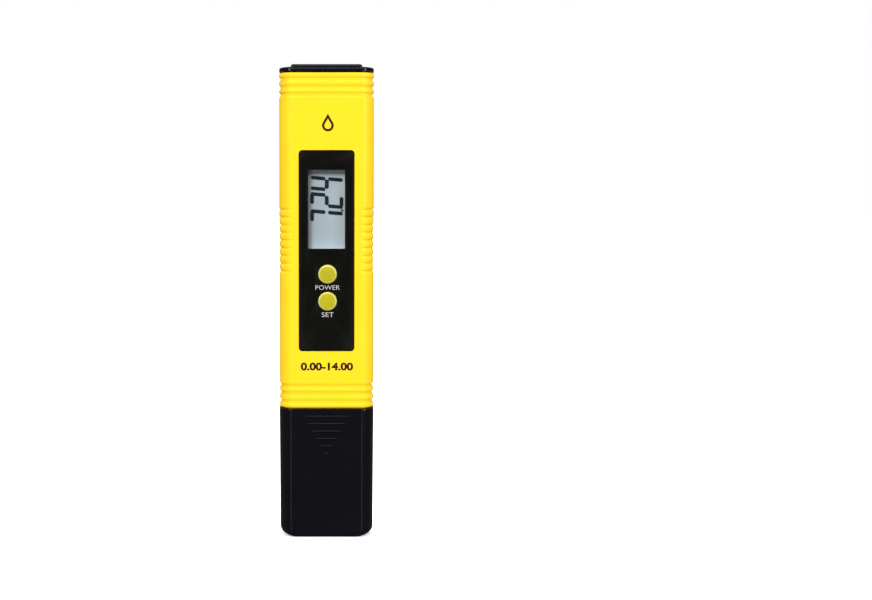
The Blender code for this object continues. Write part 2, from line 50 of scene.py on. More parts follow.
GROOVE_HALF, GROOVE_D = 0.84, 0.42
PANEL_W, PANEL_H, PANEL_R, PANEL_Z = 17.5, 63.4, 1.1, 91.35
WIN_W, WIN_H, WIN_Z = 11.6, 24.8, 104.5
POWER_Z, CAL_Z = 84.05, 75.5
KEY_X = 0.3
HOLE_R = 3.12
STEPS = 20

scene = bpy.context.scene
root_coll = scene.collection


# ------------------------------------------------------------------ camera
def look_at(obj, target):
    d = Vector(target) - obj.location
    obj.rotation_euler = d.to_track_quat("-Z", "Y").to_euler()


cam_data = bpy.data.cameras.new("camera")
cam = bpy.data.objects.new("camera", cam_data)
root_coll.objects.link(cam)
cam_data.sensor_width = 36.0
cam_data.lens = 74.78
cam_data.clip_start, cam_data.clip_end = 0.01, 20.0
DIST, ELEV = 0.580, math.radians(4.0)
cam.location = (0.0, -DIST * math.cos(ELEV), 0.075 + DIST * math.sin(ELEV))
look_at(cam, (0, 0, 0.075))
cam_data.shift_x = 0.1255
cam_data.shift_y = 0.0013
scene.camera = cam


# ------------------------------------------------------------------ node helpers
def tree(name):
    m = bpy.data.materials.new(name)
    m.use_nodes = True
    nt = m.node_tree
    return m, nt, nt.nodes["Principled BSDF"]


def add(nt, kind, **inputs):
    n = nt.nodes.new(kind)
    for k, v in inputs.items():
        if k in n.inputs:
            n.inputs[k].default_value = v
        else:
            setattr(n, k, v)
    return n


def coords(nt, scale=(1, 1, 1)):
    tc = nt.nodes.new("ShaderNodeTexCoord")
    mp = nt.nodes.new("ShaderNodeMapping")
    mp.inputs["Scale"].default_value = scale
    nt.links.new(tc.outputs["Object"], mp.inputs["Vector"])
    return mp.outputs["Vector"]


def noise(nt, vec, scale, detail=3.0, rough=0.55, distortion=0.0):
    n = nt.nodes.new("ShaderNodeTexNoise")
    n.inputs["Scale"].default_value = scale
    n.inputs["Detail"].default_value = detail
    n.inputs["Roughness"].default_value = rough
    n.inputs["Distortion"].default_value = distortion
    nt.links.new(vec, n.inputs["Vector"])
    return n.outputs["Fac"]


def ramp(nt, fac, stops):
    r = nt.nodes.new("ShaderNodeValToRGB")
    e = r.color_ramp.elements
    while len(e) > 1:
        e.remove(e[-1])
    for i, (pos, col) in enumerate(stops):
        el = e[0] if i == 0 else e.new(pos)
        el.position = pos
        el.color = (*col, 1.0)
    nt.links.new(fac, r.inputs["Fac"])
    return r.outputs["Color"]


def remap(nt, fac, lo, hi, a=0.3, b=0.7):
    m = nt.nodes.new("ShaderNodeMapRange")
    m.inputs["From Min"].default_value = a
    m.inputs["From Max"].default_value = b
    m.inputs["To Min"].default_value = lo
    m.inputs["To Max"].default_value = hi
    nt.links.new(fac, m.inputs["Value"])
    return m.outputs["Result"]


def mix(nt, fac, a, b):
    m = nt.nodes.new("ShaderNodeMix")
    m.data_type = "RGBA"
    for sock, v in ((m.inputs["A"], a), (m.inputs["B"], b)):
        if isinstance(v, tuple):
            sock.default_value = (*v, 1.0)
        else:
            nt.links.new(v, sock)
    if isinstance(fac, float):
        m.inputs["Factor"].default_value = fac
    else:
        nt.links.new(fac, m.inputs["Factor"])
    return m.outputs["Result"]


def bump(nt, bsdf, height, strength, distance, normal=None):
    b = nt.nodes.new("ShaderNodeBump")
    b.inputs["Strength"].default_value = strength
    b.inputs["Distance"].default_value = distance
    nt.links.new(height, b.inputs["Height"])
    if normal is not None:
        nt.links.new(normal, b.inputs["Normal"])
    if bsdf is not None:
        nt.links.new(b.outputs["Normal"], bsdf.inputs["Normal"])
    return b.outputs["Normal"]


def moulded(
    name,
    base,
    alt,
    rough=(0.25, 0.35),
    grain=2600.0,
    grain_mm=0.004,
    wave_mm=0.01,
    spec=0.5,
    coat=0.0,
    coat_rough=0.1,
    cloud=90.0,
    fleck=0.0,
):
    """Moulded plastic: slow colour drift, a fine grain in roughness and height, slight flow waves."""
    m, nt, p = tree(name)
    v = coords(nt)
    slow = noise(nt, v, cloud, 2.0)
    fine = noise(nt, v, grain, 2.0, 0.6)
    mid = noise(nt, v, grain * 0.05, 1.0, 0.5)
    col = ramp(nt, slow, [(0.3, base), (0.7, alt)])
    if fleck:
        dust = noise(nt, v, grain * 0.6, 1.0, 0.5)
        mask = remap(nt, dust, 0.0, fleck, 0.68, 0.74)
        col = mix(nt, mask, col, tuple(min(1.0, c * 1.6 + 0.02) for c in alt))
    nt.links.new(col, p.inputs["Base Color"])
    nt.links.new(remap(nt, mid, rough[0], rough[1]), p.inputs["Roughness"])
    n1 = bump(nt, None, noise(nt, v, 160.0, 2.0), 0.25, wave_mm * MM)
    bump(nt, p, fine, 0.35, grain_mm * MM, n1)
    p.inputs["Specular IOR Level"].default_value = spec
    p.inputs["Coat Weight"].default_value = coat
    p.inputs["Coat Roughness"].default_value = coat_rough
    return m


def metal(name, base, alt, rough=(0.18, 0.32), stretch=(1, 1, 12), scale=900.0):
    """Plated or drawn metal: brushed streaks in roughness and height, slight tarnish."""
    m, nt, p = tree(name)
    v = coords(nt, stretch)
    streak = noise(nt, v, scale, 4.0, 0.6)
    stain = noise(nt, coords(nt), 260.0, 3.0)
    nt.links.new(ramp(nt, stain, [(0.3, base), (0.75, alt)]), p.inputs["Base Color"])
    nt.links.new(remap(nt, streak, *rough), p.inputs["Roughness"])
    bump(nt, p, streak, 0.2, 0.004 * MM)
    p.inputs["Metallic"].default_value = 1.0
    return m


# ------------------------------------------------------------------ materials
YELLOW = moulded(
    "yellow_abs",
    (0.92, 0.575, 0.006),
    (0.94, 0.597, 0.009),
    rough=(0.285, 0.315),
    grain=2400,
    grain_mm=0.003,
    wave_mm=0.012,
    spec=0.30,
)
BLACK = moulded(
    "black_abs",
    (0.0021, 0.0018, 0.0040),
    (0.0027, 0.0024, 0.0048),
    rough=(0.13, 0.19),
    grain=2200,
    grain_mm=0.002,
    wave_mm=0.004,
    spec=0.45,
    fleck=0.03,
)
FILM = moulded(
    "panel_film",
    (0.0022, 0.0025, 0.0014),
    (0.0028, 0.0031, 0.0020),
    rough=(0.20, 0.28),
    grain=3000,
    grain_mm=0.002,
    wave_mm=0.004,
    spec=0.25,
    fleck=0.02,
)
KEY = moulded(
    "key_plastic",
    (0.42, 0.365, 0.008),
    (0.36, 0.33, 0.006),
    rough=(0.18, 0.26),
    grain=3000,
    grain_mm=0.004,
    wave_mm=0.006,
    spec=0.5,
    cloud=420,
)
# A lighter copy of the key plastic for the bevelled rim: a painted highlight, not a different plastic.
KEY_RIM_PAINTED_HIGHLIGHT = moulded(
    "key_rim_painted_highlight",
    (0.66, 0.59, 0.18),
    (0.58, 0.52, 0.14),
    rough=(0.16, 0.24),
    grain=3000,
    grain_mm=0.003,
    wave_mm=0.004,
    spec=0.8,
    cloud=420,
)
WHITE_INK = moulded(
    "light_ink", (0.42, 0.43, 0.37), (0.50, 0.51, 0.45), rough=(0.4, 0.55), grain=5000,
    grain_mm=0.001, wave_mm=0.0,
)
DARK_INK = moulded(
    "dark_ink", (0.010, 0.006, 0.002), (0.018, 0.011, 0.004), rough=(0.35, 0.5), grain=5000,
    grain_mm=0.001, wave_mm=0.0,
)


def lcd_material():
    m, nt, p = tree("lcd_field")
    v = coords(nt)
    haze = noise(nt, v, 120.0, 2.0)
    fine = noise(nt, v, 5200.0, 1.0)
    col = ramp(nt, haze, [(0.3, (0.352, 0.424, 0.472)), (0.7, (0.370, 0.444, 0.493))])
    # the bezel's shade falls on the left and upper margins, the others catch light
    axes = nt.nodes.new("ShaderNodeSeparateXYZ")
    nt.links.new(v, axes.inputs[0])
    for axis, lo_mm, hi_mm, stops in (
        ("X", -5.9, 5.9, ((0.0, 0.50), (0.06, 0.58), (0.10, 0.74), (0.14, 0.95), (0.45, 1.0), (0.75, 1.07), (0.88, 1.16), (0.96, 1.28), (1.0, 1.34))),
        ("Z", 92.1, 116.9, ((0.0, 1.62), (0.03, 1.42), (0.07, 1.22), (0.14, 1.05), (0.22, 1.0), (0.86, 1.0), (0.915, 1.0), (0.930, 0.82), (0.945, 0.60), (0.960, 0.36), (0.975, 0.44), (1.0, 0.52))),
    ):
        along = remap(nt, axes.outputs[axis], 0.0, 1.0, lo_mm * MM, hi_mm * MM)
        shade = ramp(nt, along, [(a, (0.5 * f, 0.5 * f, 0.5 * f)) for a, f in stops])
        gain = nt.nodes.new("ShaderNodeVectorMath")
        gain.operation = "SCALE"
        gain.inputs["Scale"].default_value = 2.0
        nt.links.new(shade, gain.inputs[0])
        times = nt.nodes.new("ShaderNodeVectorMath")
        times.operation = "MULTIPLY"
        nt.links.new(col, times.inputs[0])
        nt.links.new(gain.outputs[0], times.inputs[1])
        col = times.outputs[0]
    nt.links.new(col, p.inputs["Base Color"])
    nt.links.new(remap(nt, fine, 0.34, 0.46), p.inputs["Roughness"])
    bump(nt, p, fine, 0.3, 0.001 * MM)
    p.inputs["Specular IOR Level"].default_value = 0.25
    return m


LCD_FIELD = lcd_material()
LCD_INK = moulded(
    "lcd_segment", (0.006, 0.011, 0.018), (0.009, 0.015, 0.024), rough=(0.3, 0.4), grain=5000,
    grain_mm=0.0005, wave_mm=0.0, spec=0.2,
)


def clear(name, tint, alpha, rough=(0.03, 0.08), spec=0.5):
    """Thin clear plastic or glass that lets the lamps through."""
    m, nt, p = tree(name)
    v = coords(nt)
    smear = noise(nt, v, 300.0, 3.0)
    nt.links.new(remap(nt, smear, *rough), p.inputs["Roughness"])
    nt.links.new(
        ramp(nt, smear, [(0.3, tint), (0.8, tuple(min(1, c * 1.05) for c in tint))]),
        p.inputs["Base Color"],
    )
    bump(nt, p, smear, 0.1, 0.002 * MM)
    p.inputs["Alpha"].default_value = alpha
    p.inputs["Specular IOR Level"].default_value = spec
    return m


LENS = clear("lens_acrylic", (0.03, 0.034, 0.036), 0.07)
GLASS = clear("display_glass", (0.60, 0.68, 0.70), 0.45)
BULB = clear("bulb_glass", (0.80, 0.90, 0.94), 0.38, (0.01, 0.04), 0.9)
TUBE = moulded(
    "electrode_tube", (0.36, 0.37, 0.39), (0.42, 0.43, 0.45), rough=(0.18, 0.28), grain=2600,
    grain_mm=0.003, coat=0.3,
)
RUBBER = moulded(
    "seal_rubber", (0.008, 0.008, 0.008), (0.014, 0.014, 0.014), rough=(0.55, 0.75), grain=1800,
    grain_mm=0.012, wave_mm=0.01, spec=0.3,
)
ZEBRA = moulded("zebra_rubber", (0.12, 0.11, 0.12), (0.2, 0.19, 0.2), rough=(0.6, 0.8))
WHITE_PL = moulded("white_frame", (0.68, 0.68, 0.64), (0.74, 0.74, 0.70), rough=(0.4, 0.55))
DARK_PL = moulded("dark_plastic", (0.010, 0.010, 0.011), (0.017, 0.017, 0.018), rough=(0.4, 0.55))
EPOXY = moulded("epoxy", (0.004, 0.004, 0.004), (0.008, 0.008, 0.008), rough=(0.12, 0.3), wave_mm=0.05)
SLEEVE = moulded("cap_sleeve", (0.012, 0.018, 0.09), (0.018, 0.026, 0.12), rough=(0.25, 0.35))
RED = moulded("red_pvc", (0.42, 0.012, 0.010), (0.5, 0.018, 0.014), rough=(0.35, 0.5))
BLACK_PVC = moulded("black_pvc", (0.008, 0.008, 0.008), (0.014, 0.014, 0.014), rough=(0.35, 0.5))
WHITE_PVC = moulded("white_pvc", (0.62, 0.62, 0.58), (0.70, 0.70, 0.66), rough=(0.35, 0.5))
PLUG = moulded("plug_rubber", (0.20, 0.035, 0.022), (0.26, 0.045, 0.03), rough=(0.55, 0.75), grain_mm=0.012)
CERAMIC = moulded("ceramic", (0.70, 0.69, 0.62), (0.78, 0.77, 0.71), rough=(0.7, 0.9), grain=3500, grain_mm=0.03)
CHROME = metal("plated_metal", (0.72, 0.72, 0.73), (0.60, 0.59, 0.57))
CELL = metal("cell_can", (0.70, 0.70, 0.71), (0.62, 0.61, 0.60), rough=(0.12, 0.26), stretch=(10, 1, 1))
STEEL = metal("screw_steel", (0.58, 0.58, 0.60), (0.48, 0.48, 0.49), stretch=(1, 1, 1))
SILVER = metal("silver", (0.85, 0.84, 0.82), (0.70, 0.69, 0.66), rough=(0.1, 0.25))
DULL_SILVER = metal("chlorided_silver", (0.16, 0.13, 0.14), (0.26, 0.22, 0.22), rough=(0.45, 0.65))
FOIL = metal("reflector", (0.75, 0.76, 0.77), (0.68, 0.69, 0.70), rough=(0.28, 0.4), stretch=(1, 1, 1))


def board_material():
    """Green solder mask with faint tracks under it and darker mottling."""
    m, nt, p = tree("circuit_board")
    v = coords(nt)
    w = nt.nodes.new("ShaderNodeTexBrick")
    w.inputs["Scale"].default_value = 160.0
    w.inputs["Mortar Size"].default_value = 0.06
    w.inputs["Color1"].default_value = (0.008, 0.085, 0.030, 1)
    w.inputs["Color2"].default_value = (0.010, 0.100, 0.036, 1)
    w.inputs["Mortar"].default_value = (0.020, 0.155, 0.055, 1)
    swap = nt.nodes.new("ShaderNodeMapping")
    swap.inputs["Rotation"].default_value = (math.pi / 2, 0, 0)
    nt.links.new(v, swap.inputs["Vector"])
    nt.links.new(swap.outputs["Vector"], w.inputs["Vector"])
    n = noise(nt, v, 500.0, 3.0)
    nt.links.new(mix(nt, remap(nt, n, 0.0, 0.5), w.outputs["Color"], (0.006, 0.07, 0.026)), p.inputs["Base Color"])
    nt.links.new(remap(nt, n, 0.25, 0.4), p.inputs["Roughness"])
    bump(nt, p, w.outputs["Fac"], 0.4, 0.03 * MM)
    return m


BOARD = board_material()

CAD_LOOKS = {
    "lcd_glass": GLASS,
    "lcd_front_polariser": LCD_FIELD,
    "lcd_reflector": FOIL,
    "lcd_frame": WHITE_PL,
    "zebra_strip_left": ZEBRA,
    "zebra_strip_right": ZEBRA,
    "circuit_board": BOARD,
    "controller_blob": EPOXY,
    "amplifier_chip": DARK_PL,
    "crystal_can": CHROME,
    "filter_capacitor": SLEEVE,
    "power_switch_base": DARK_PL,
    "power_switch_cover": CHROME,
    "power_switch_plunger": DARK_PL,
    "cal_switch_base": DARK_PL,
    "cal_switch_cover": CHROME,
    "cal_switch_plunger": DARK_PL,
    "board_screw_1": STEEL,
    "board_screw_2": STEEL,
    "board_screw_3": STEEL,
    "board_screw_4": STEEL,
    "battery_holder": DARK_PL,
    "cell_1": CELL,
    "cell_2": CELL,
    "battery_spring": CHROME,
    "battery_contact": CHROME,
    "battery_lead_positive": RED,
    "battery_lead_negative": BLACK_PVC,
    "battery_cap_gasket": RUBBER,
    "cap_seal_ring": RUBBER,
    "electrode_guard": BLACK,
    "electrode_body": TUBE,
    "glass_bulb": BULB,
    "reference_junction": CERAMIC,
    "silver_wire": SILVER,
    "reference_wire": DULL_SILVER,
    "electrode_plug": PLUG,
    "signal_lead": WHITE_PVC,
    "reference_lead": BLACK_PVC,
    "display_lens": LENS,
}
for node, look in CAD_LOOKS.items():
    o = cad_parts[node]
    o.data.materials.clear()
    o.data.materials.append(look)
    o.data.shade_smooth()
    o.data.set_sharp_from_angle(angle=math.radians(35))


# ------------------------------------------------------------------ mesh helpers
def finish_piece(obj, look, body, *nodes, slot=None, angle=32):
    obj.data.materials.clear()
    obj.data.materials.append(look)
    if obj.type == "MESH":
        obj.data.shade_smooth()
        obj.data.set_sharp_from_angle(angle=math.radians(angle))
    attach(obj, body)
    if nodes:
        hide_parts(*nodes)
    return obj


def from_bmesh(name, bm):
    bmesh.ops.recalc_face_normals(bm, faces=bm.faces)
    me = bpy.data.meshes.new(name)
    bm.to_mesh(me)
    bm.free()
    o = bpy.data.objects.new(name, me)
    root_coll.objects.link(o)
    return o


def corner_point(hx, hy, rx, ry, q, k, inset, side, steps):
    sx = 1 if q in (0, 3) else -1
    sy = 1 if q in (0, 1) else -1
    t = (q + k / steps) * math.pi / 2
    c, s = math.cos(t), math.sin(t)
    n = Vector((c / rx, s / ry)).normalized()
    d = inset * (0.68 + 0.45 * abs(c)) + side * min(1.0, abs(c) * 1.8)
    return (sx * (hx - rx) + rx * c - d * n.x, sy * (hy - ry) + ry * s - d * n.y)


def slab(z, hx=HX, hy=HY, rx=RX, ry=RY, inset=0.0, side=0.0, steps=STEPS):
    pts = []
    for q in range(4):
        for k in range(steps + 1):
            x, y = corner_point(hx, hy, rx, ry, q, k, inset, side, steps)
            pts.append(Vector((x * MM, y * MM, z * MM)))
    return pts


def off(z, o=0.0, **kw):
    return slab(z, HX - o, HY - o, RX - o, RY - o, **kw)


def skin(name, rings):
    """A closed solid through a stack of rings, bottom to top."""
    bm = bmesh.new()
    rows = [[bm.verts.new(p) for p in r] for r in rings]
    n = len(rows[0])
    for a, b in zip(rows, rows[1:]):
        for i in range(n):
            j = (i + 1) % n
            bm.faces.new((a[i], a[j], b[j], b[i]))
    bm.faces.new(list(reversed(rows[0])))
    bm.faces.new(rows[-1])
    return from_bmesh(name, bm)


def cut(obj, tool, operation="DIFFERENCE"):
    """Applies a Boolean at once and removes the tool."""
    m = obj.modifiers.new("cut", "BOOLEAN")
    m.operation, m.object, m.solver = operation, tool, "EXACT"
    bpy.context.view_layer.update()
    dg = bpy.context.evaluated_depsgraph_get()
    me = bpy.data.meshes.new_from_object(obj.evaluated_get(dg))
    obj.modifiers.clear()
    obj.data = me
    bpy.data.objects.remove(tool)
    return obj


def rounded(w, h, r, cy=0.0, steps=8):
    pts = []
    for sx, sy, a in ((1, 1, 0), (-1, 1, 90), (-1, -1, 180), (1, -1, 270)):
        for k in range(steps + 1):
            t = math.radians(a + 90 * k / steps)
            pts.append((sx * (w / 2 - r) + r * math.cos(t), cy + sy * (h / 2 - r) + r * math.sin(t)))
    return pts


def disc(cx, cz, r, n=64):
    return [(cx + r * math.cos(2 * math.pi * k / n), cz + r * math.sin(2 * math.pi * k / n)) for k in range(n)]


def prism_y(name, levels):
    """A solid through outlines in XZ, each a (y, points) pair, from front to back."""
    return skin_y(name, [[Vector((x * MM, y * MM, z * MM)) for x, z in pts] for y, pts in levels])


def skin_y(name, rings):
    bm = bmesh.new()
    rows = [[bm.verts.new(p) for p in r] for r in rings]
    n = len(rows[0])
    for a, b in zip(rows, rows[1:]):
        for i in range(n):
            j = (i + 1) % n
            bm.faces.new((a[i], b[i], b[j], a[j]))
    bm.faces.new(rows[0])
    bm.faces.new(list(reversed(rows[-1])))
    return from_bmesh(name, bm)


def flat_piece(name, outlines, y0, y1, edge=0.06):
    """A thin plate facing -Y with rounded edges on its outline and holes."""
    c = bpy.data.curves.new(name, "CURVE")
    c.dimensions, c.fill_mode = "2D", "BOTH"
    c.extrude = (abs(y1 - y0) / 2 - edge) * MM
    c.bevel_depth = edge * MM
    c.bevel_resolution = 2
    c.offset = -edge * MM
    for pts in outlines:
        s = c.splines.new("POLY")
        s.points.add(len(pts) - 1)
        for p, (x, z) in zip(s.points, pts):
            p.co = (x * MM, z * MM, 0, 1)
        s.use_cyclic_u = True
    o = bpy.data.objects.new(name, c)
    root_coll.objects.link(o)
    o.location = (0, (y0 + y1) / 2 * MM, 0)
    o.rotation_euler = (math.pi / 2, 0, 0)
    return to_mesh(o)


def to_mesh(o):
    """The evaluated object as a mesh with its place in its vertices."""
    bpy.context.view_layer.update()
    dg = bpy.context.evaluated_depsgraph_get()
    me = bpy.data.meshes.new_from_object(o.evaluated_get(dg))
    me.transform(o.matrix_world)
    name = o.name
    bpy.data.objects.remove(o)
    bm = bmesh.new()
    bm.from_mesh(me)
    bmesh.ops.remove_doubles(bm, verts=bm.verts, dist=0.000001)
    bmesh.ops.dissolve_degenerate(bm, edges=bm.edges, dist=0.0000005)
    bm.to_mesh(me)
    bm.free()
    new = bpy.data.objects.new(name, me)
    root_coll.objects.link(new)
    return new


def lathe(name, profile, at, axis="z", n=72, closed=False):
    """A turned solid: (radius, height) pairs, heights along +axis from at."""
    bm = bmesh.new()
    rows = []
    for r, h in profile:
        if r < 1e-6:
            rows.append([bm.verts.new((0, 0, h * MM))])
        else:
            rows.append(
                [
                    bm.verts.new((r * MM * math.cos(2 * math.pi * k / n), r * MM * math.sin(2 * math.pi * k / n), h * MM))
                    for k in range(n)
                ]
            )
    pairs = list(zip(rows, rows[1:]))
    if closed:
        pairs.append((rows[-1], rows[0]))
    for a, b in pairs:
        for k in range(n):
            j = (k + 1) % n
            if len(a) == 1 and len(b) == 1:
                continue
            if len(a) == 1:
                bm.faces.new((a[0], b[k], b[j]))
            elif len(b) == 1:
                bm.faces.new((a[k], b[0], a[j]))
            else:
                bm.faces.new((a[k], b[k], b[j], a[j]))
    turn = {
        "z": Matrix.Identity(4),
        "-y": Matrix.Rotation(math.pi / 2, 4, "X"),
        "y": Matrix.Rotation(-math.pi / 2, 4, "X"),
        "x": Matrix.Rotation(math.pi / 2, 4, "Y"),
    }[axis]
    bmesh.ops.transform(bm, matrix=Matrix.Translation(Vector(at) * MM) @ turn, verts=bm.verts)
    return from_bmesh(name, bm)


# ------------------------------------------------------------------ casing shells
SEAM = 0.06
EDGE = 0.12
TONGUE = 0.66  # depth into the wall where the tongue starts


def groove_inset(z):
    band = side = 0.0
    for g in BAND_Z:
        u = abs(z - g) / GROOVE_HALF
        if u < 1:
            band = max(band, GROOVE_D * (1 - u * u) ** 0.62)
    for g in GRIP_Z:
        u = abs(z - g) / GROOVE_HALF
        if u < 1:
            side = max(side, GROOVE_D * (1 - u) ** 1.7)
    return band, side


def shell_levels():
    """(z, outer offset, band inset, side inset, inner offset) up the casing."""
    n = WALL + CLEAR
    lv = [
        (NECK_Z0, n + 0.25, 0, 0, n + 1.2),
        (NECK_Z0 + 0.08, n + 0.10, 0, 0, n + 1.2),
        (NECK_Z0 + 0.3, n, 0, 0, n + 1.2),
        (35.1, n, 0, 0, n + 1.2),
        (35.2, n + 0.08, 0, 0, n + 1.2),
        (35.22, n + 0.5, 0, 0, n + 1.2),
        (36.58, n + 0.5, 0, 0, n + 1.2),
        (36.6, n + 0.08, 0, 0, n + 1.2),
        (36.7, n, 0, 0, n + 1.2),
        (BODY_Z0 - 0.02, n, 0, 0, n + 1.2),
        (BODY_Z0, n - 0.02, 0, 0, n + 1.15),
        (BODY_Z0 + 0.001, 0.62, 0, 0, n + 1.15),
        (BODY_Z0 + 0.03, 0.46, 0, 0, n + 1.12),
        (BODY_Z0 + 0.10, 0.31, 0, 0, n + 1.08),
        (BODY_Z0 + 0.22, 0.18, 0, 0, n + 1.0),
        (BODY_Z0 + 0.38, 0.08, 0, 0, n + 0.9),
        (BODY_Z0 + 0.56, 0.02, 0, 0, n + 0.8),
        (BODY_Z0 + 0.75, 0.0, 0, 0, n + 0.7),
    ]
    zs = set()
    for g in BAND_Z + GRIP_Z:
        for k in range(-6, 7):
            zs.add(round(g + GROOVE_HALF * math.sin(k * math.pi / 12), 3))
    for z in (50.5, 60, 70, 80, 115, 125, 135, BODY_Z1 - 0.35):
        zs.add(z)
    for z in sorted(zs):
        if BODY_Z0 + 0.9 < z < BODY_Z1 - 0.6:
            b, s = groove_inset(z)
            inner = WALL if z > BODY_Z0 + 1.7 else WALL + 0.6
            lv.append((z, 0.0, b, s, inner))
    lv += [
        (BODY_Z1 - 0.50, 0.0, 0, 0, WALL),
        (BODY_Z1 - 0.30, 0.03, 0, 0, WALL),
        (BODY_Z1 - 0.15, 0.10, 0, 0, WALL),
        (BODY_Z1 - 0.05, 0.22, 0, 0, WALL),
        (BODY_Z1, 0.38, 0, 0, WALL),
    ]
    return lv


def half_outline(z, o, band, side, ends):
    """The front half of the slab's outline (y < 0) from +X round to -X, with its ends at y = -ends."""
    hx, hy, rx, ry = HX - o, HY - o, RX - o, RY - o
    pts = []
    for q in (3, 2):
        ks = range(STEPS, -1, -1)
        for k in ks:
            pts.append(corner_point(hx, hy, rx, ry, q, k, band, side, STEPS))
    # q = 3 runs from the side (y = -(hy - ry)) to the front; q = 2 from the front to the other side
    first, last = pts[0], pts[-1]
    return [(first[0], -ends)] + pts + [(last[0], -ends)]


def build_shell(name, front):
    sign = 1.0 if front else -1.0
    rings = []
    for z, o, band, side, inner in shell_levels():
        depth = inner - o
        tongue_o = o + band + 0.5 * depth
        outer = half_outline(z, o, band, side, SEAM + EDGE)
        ox = outer[0][0]
        lo_end = SEAM + 0.95 if front else -(SEAM + 0.80)
        step = 0.06 if front else -0.06
        mid = HX - (o + max(band, side)) - 0.5 * (inner - o - max(band, side)) - (0.0 if front else 0.10)
        inn = half_outline(z, inner, 0, 0, lo_end)
        ring = [(ox - EDGE, -SEAM)] + outer + [(-(ox - EDGE), -SEAM)]
        ring += [(-mid, -SEAM), (-mid, -lo_end)]
        ring += list(reversed(inn))
        ring += [(mid, -lo_end), (mid, -SEAM)]
        rings.append([Vector((x * MM, y * sign * MM, z * MM)) for x, y in ring])
    bm = bmesh.new()
    rows = [[bm.verts.new(p) for p in r] for r in rings]
    n = len(rows[0])
    for a, b in zip(rows, rows[1:]):
        for i in range(n):
            j = (i + 1) % n
            bm.faces.new((a[i], a[j], b[j], b[i]))
    for row, up in ((rows[0], False), (rows[-1], True)):
        f = bm.faces.new(row if up else list(reversed(row)))
        bmesh.ops.triangulate(bm, faces=[f])
    return from_bmesh(name, bm)


front = build_shell("front_shell_skin", True)
W = 0.12
cut(
    front,
    prism_y(
        "panel_recess",
        [
            (-8.2, rounded(PANEL_W + 2 * W + 1.4, PANEL_H + 2 * W + 1.4, PANEL_R + W + 0.7, PANEL_Z)),
            (-7.5, rounded(PANEL_W + 2 * W, PANEL_H + 2 * W, PANEL_R + W, PANEL_Z)),
            (-7.4, rounded(PANEL_W + 2 * W - 0.1, PANEL_H + 2 * W - 0.1, PANEL_R + W - 0.05, PANEL_Z)),
            (-7.0, rounded(PANEL_W + 2 * W - 0.1, PANEL_H + 2 * W - 0.1, PANEL_R + W - 0.05, PANEL_Z)),
        ],
    ),
)
cut(
    front,
    prism_y(
        "window_cut",
        [
            (-7.2, rounded(WIN_W + 0.24, WIN_H + 0.24, 0.35, WIN_Z)),
            (-5.5, rounded(WIN_W + 0.24, WIN_H + 0.24, 0.35, WIN_Z)),
        ],
    ),
)
for z in (POWER_Z, CAL_Z):
    cut(front, prism_y("key_cut", [(-7.2, disc(KEY_X, z, HOLE_R)), (-5.5, disc(KEY_X, z, HOLE_R))]))
bosses = []
for sx in (-1, 1):
    for z in (62.5, 121.7):
        b = lathe(
            "boss", [(0, 5.4), (1.55, 5.4), (1.8, 5.15), (1.85, 1.4), (2.3, 0.75), (2.4, 0.0), (0, 0.0)],
            (sx * 9.0, -6.6, z), "y", 32,
        )
        cut(front, b, "UNION")
        p = lathe("pilot", [(0, 6.0), (1.0, 6.0), (1.0, 0.0), (0, 0.0)], (sx * 9.0, -5.6, z), "y", 24)
        cut(front, p)
finish_piece(front, YELLOW, "casing", "front_shell", slot="yellow_plastic", angle=22)
# the window's own edge is masked black, as behind the printed overlay
front.data.materials.append(FILM)
for poly in front.data.polygons:
    c = poly.center / MM
    if abs(c.x) < WIN_W / 2 + 0.3 and abs(c.z - WIN_Z) < WIN_H / 2 + 0.3 and -6.95 < c.y < -6.25:
        poly.material_index = 1

rear = build_shell("rear_shell_skin", False)
finish_piece(rear, YELLOW, "casing", "rear_shell", slot="yellow_plastic", angle=22)

# ------------------------------------------------------------------ face panel
overlay = flat_piece(
    "face_overlay_skin",
    [
        rounded(PANEL_W, PANEL_H, PANEL_R, PANEL_Z, 10),
        list(reversed(rounded(WIN_W, WIN_H, 0.35, WIN_Z, 6))),
        list(reversed(disc(KEY_X, POWER_Z, HOLE_R))),
        list(reversed(disc(KEY_X, CAL_Z, HOLE_R))),
    ],
    -7.45,
    -7.05,
)
finish_piece(overlay, FILM, "casing", "face_overlay", slot="panel_film")

# ------------------------------------------------------------------ keys
KEY_PROFILE = (
    [(0.0, 3.10)]
    + [(r, 3.10 - 0.13 * (r / 2.25) ** 2) for r in (0.5, 1.0, 1.5, 1.9, 2.15, 2.25)]
    + [(2.44, 2.95), (2.52, 2.92), (2.76, 2.74), (2.83, 2.68), (2.88, 2.60), (2.91, 2.50), (2.92, 2.38)]
    + [(2.92, 0.85), (2.97, 0.8), (3.72, 0.8), (3.8, 0.72), (3.8, 0.28), (3.72, 0.2), (1.5, 0.2), (1.5, 0.05), (1.45, 0.0), (0, 0.0)]
)
for label, z, body in (("power", POWER_Z, "power_key"), ("cal", CAL_Z, "cal_key")):
    key = lathe(f"{label}_button_skin", KEY_PROFILE, (KEY_X, -5.1, z), "-y", 80)
    finish_piece(key, KEY, body, f"{label}_button", slot="key_plastic", angle=50)
    # The bevel faces take the lighter rim copy of the key plastic: a painted highlight round the key's edge.
    key.data.materials.append(KEY_RIM_PAINTED_HIGHLIGHT)
    for poly in key.data.polygons:
        c = poly.center
        radius = math.hypot(c.x / MM - KEY_X, c.z / MM - z)
        if radius > 2.49 and c.y / MM < -7.4:
            poly.material_index = 1


